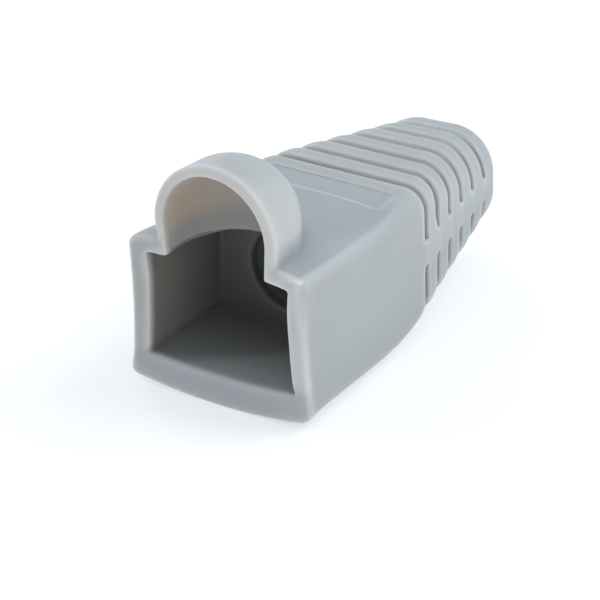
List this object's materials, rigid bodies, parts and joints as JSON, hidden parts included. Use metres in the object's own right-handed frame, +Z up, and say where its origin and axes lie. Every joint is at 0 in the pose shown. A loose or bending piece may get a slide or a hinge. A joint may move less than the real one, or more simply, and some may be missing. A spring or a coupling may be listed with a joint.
{
  "type": "rj45 strain relief boot",
  "caption": "One-piece soft boot for a modular network plug: rectangular mouth, domed latch hood, shallow top pocket and a tapered, grooved tail with a cable bore.",
  "frame": {"origin": "on the surface the boot stands on, under the middle of its bounding box", "axes": "+Y along the cable axis from the plug mouth to the cable end, +Z up towards the latch hood, +X to the right seen from the mouth"},
  "size_m": [0.0148, 0.03, 0.0182],
  "materials": {
    "soft_pvc": "soft moulded PVC, satin grey, slightly translucent at thin edges"
  },
  "bodies": {
    "root": {"boot": "soft_pvc"}
  },
  "joints": []
}
